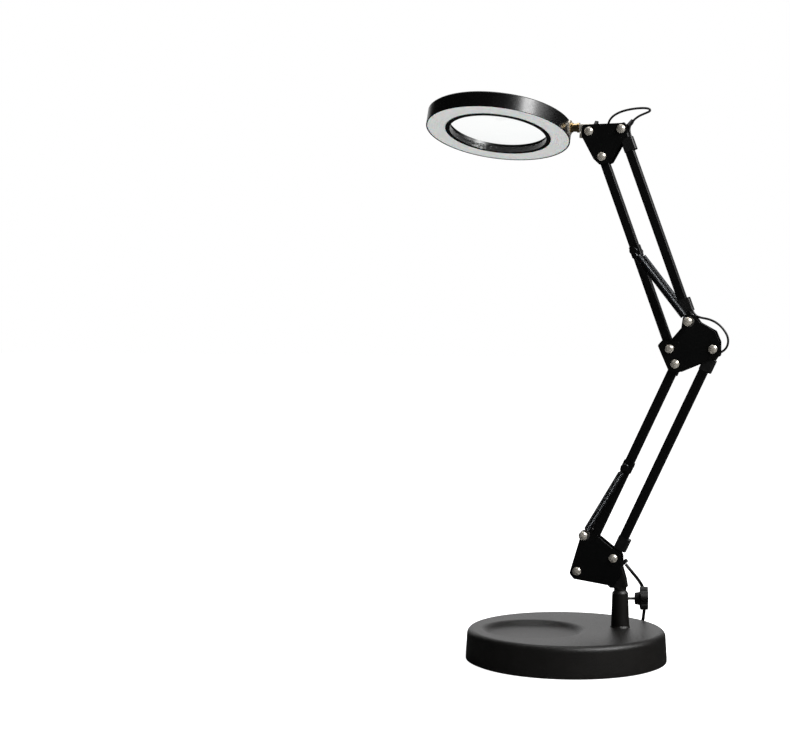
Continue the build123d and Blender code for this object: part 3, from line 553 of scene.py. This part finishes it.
wound_points = [
    store_point(CONTROL_X - CONTROL_REACH, CONTROL_Y, CONTROL_Z),
    store_point(-0.016, CONTROL_Y, CONTROL_Z),
    store_point(-0.024, CONTROL_Y, CONTROL_Z),
    *coil_points(),
    store_point(-0.022, PLUG_Y, PLUG_Z),
    store_point(-0.013, PLUG_Y, PLUG_Z),
    store_point(PLUG_X, PLUG_Y, PLUG_Z),
]
coil = curve_object("lead_coil_turns", wound_points, TAIL_D, detail=6)
finish_piece(coil, "lead_jacket", "lead_coil")
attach(coil, "base")
coil_length = line_length(centreline(wound_points, 6))

# ---------------------------------------------------------------- camera

CAMERA_DISTANCE = 1.5
CAMERA_HEIGHT = 0.304
CAMERA_AZIMUTH = math.radians(15)
CAMERA_TURN = math.radians(5.88)
LOOK_DOWN = math.radians(1.85)
LENS_MM = 75.95

camera_data = bpy.data.cameras.new("camera")
camera_data.lens = LENS_MM
camera_data.sensor_width = 36
camera = bpy.data.objects.new("camera", camera_data)
bpy.context.scene.collection.objects.link(camera)
camera.location = (
    CAMERA_DISTANCE * math.sin(CAMERA_AZIMUTH),
    -CAMERA_DISTANCE * math.cos(CAMERA_AZIMUTH),
    CAMERA_HEIGHT,
)
heading = -CAMERA_AZIMUTH - CAMERA_TURN
level_way = Vector((math.sin(heading), math.cos(heading), 0))
forward = level_way * math.cos(LOOK_DOWN) - Vector((0, 0, math.sin(LOOK_DOWN)))
camera.rotation_mode = "QUATERNION"
camera.rotation_quaternion = forward.to_track_quat("-Z", "Y")
bpy.context.scene.camera = camera

# ---------------------------------------------------------------- floor, sky and lights

# Half the side of the floor, and the height on the lamp that the lights aim at.
FLOOR_HALF = 12
LIGHT_AIM = Vector((0, 0, 0.3))
# What the lamp's surfaces get from the floor and from the sky round it; the eye sees both as white.
FLOOR_GLOW = 0.75
GLOSSY_FLOOR = 0.03
ROOM_LEVEL = 0.02
BACKDROP_LEVEL = 1.0
BACKDROP_WAY = (-0.32, 0.90, 0.30)
BACKDROP_EDGE = 0.84
BACKDROP_CORE = 0.99
# Sockets of a mix node that mixes colours, which share their names with its other sockets.
COLOUR_A, COLOUR_B, COLOUR_OUT = 6, 7, 2


def seen_directly(tree):
    """One for what is seen by eye or through the lens, and nought for the light that falls on the lamp."""
    ray = tree.nodes.new("ShaderNodeLightPath")
    return math_node(tree, "MAXIMUM", ray.outputs["Is Camera Ray"], ray.outputs["Is Transmission Ray"])


def floor():
    """A plain pale floor that burns out to white, large enough to fill every view."""
    mesh = bpy.data.meshes.new("floor")
    corners = [(x * FLOOR_HALF, y * FLOOR_HALF, 0) for x, y in ((-1, -1), (1, -1), (1, 1), (-1, 1))]
    mesh.from_pydata(corners, [], [(0, 1, 2, 3)])
    thing = bpy.data.objects.new("floor", mesh)
    bpy.context.scene.collection.objects.link(thing)
    shader = Shader("pale_floor")
    tree = shader.tree
    direct = seen_directly(tree)
    ray = tree.nodes.new("ShaderNodeLightPath")
    pale = shader.ramp(shader.noise(3, 1), (0.78, 0.78, 0.78), (0.82, 0.82, 0.82))
    dim = tree.nodes.new("ShaderNodeMix")
    dim.data_type = "RGBA"
    shader.link(ray.outputs["Is Glossy Ray"], dim.inputs["Factor"])
    shader.link(pale, dim.inputs[COLOUR_A])
    dim.inputs[COLOUR_B].default_value = (GLOSSY_FLOOR, GLOSSY_FLOOR, GLOSSY_FLOOR, 1)
    shader.link(dim.outputs[COLOUR_OUT], shader.bsdf.inputs["Base Color"])
    soft = shader.math("MULTIPLY", ray.outputs["Is Diffuse Ray"], FLOOR_GLOW)
    shader.link(shader.math("MAXIMUM", direct, soft), shader.bsdf.inputs["Emission Strength"])
    shader.set(roughness=0.9, specular_ior_level=0.0, emission_color=(1, 1, 1, 1))
    mesh.materials.append(shader.material)


def sky():
    """White to the eye; to the lamp, a bright backdrop behind it and a dim room in front."""
    world = bpy.data.worlds.new("studio")
    world.use_nodes = True
    tree = world.node_tree
    background = tree.nodes["Background"]
    place = tree.nodes.new("ShaderNodeTexCoord")
    facing = tree.nodes.new("ShaderNodeVectorMath")
    facing.operation = "DOT_PRODUCT"
    facing.inputs[1].default_value = BACKDROP_WAY
    spread = tree.nodes.new("ShaderNodeMapRange")
    spread.interpolation_type = "SMOOTHSTEP"
    spread.inputs["From Min"].default_value = BACKDROP_EDGE
    spread.inputs["From Max"].default_value = BACKDROP_CORE
    spread.inputs["To Min"].default_value = ROOM_LEVEL
    spread.inputs["To Max"].default_value = BACKDROP_LEVEL
    choice = tree.nodes.new("ShaderNodeMix")
    tree.links.new(place.outputs["Generated"], facing.inputs[0])
    tree.links.new(facing.outputs["Value"], spread.inputs["Value"])
    tree.links.new(seen_directly(tree), choice.inputs["Factor"])
    tree.links.new(spread.outputs["Result"], choice.inputs["A"])
    choice.inputs["B"].default_value = 1.0
    tree.links.new(choice.outputs["Result"], background.inputs["Strength"])
    background.inputs["Color"].default_value = (1, 1, 1, 1)
    bpy.context.scene.world = world


def soft_light(name, azimuth, elevation, distance, width, height, power):
    """A rectangular soft light aimed at the lamp; azimuth as for the camera."""
    data = bpy.data.lights.new(name, "AREA")
    data.shape = "RECTANGLE"
    data.size = width
    data.size_y = height
    data.energy = power
    thing = bpy.data.objects.new(name, data)
    bpy.context.scene.collection.objects.link(thing)
    turn, rise = math.radians(azimuth), math.radians(elevation)
    back = Vector((math.sin(turn) * math.cos(rise), -math.cos(turn) * math.cos(rise), math.sin(rise)))
    thing.location = LIGHT_AIM + back * distance
    thing.rotation_mode = "QUATERNION"
    thing.rotation_quaternion = (-back).to_track_quat("-Z", "Y")


floor()
sky()
soft_light("wide_panel", 96, 38, 1.8, 1.2, 0.8, 16)
soft_light("bright_panel", 67, 40, 1.6, 0.5, 0.7, 25)
soft_light("top_panel", 200, 74, 1.8, 1.2, 1.0, 8)

bpy.context.scene.view_settings.view_transform = "Standard"
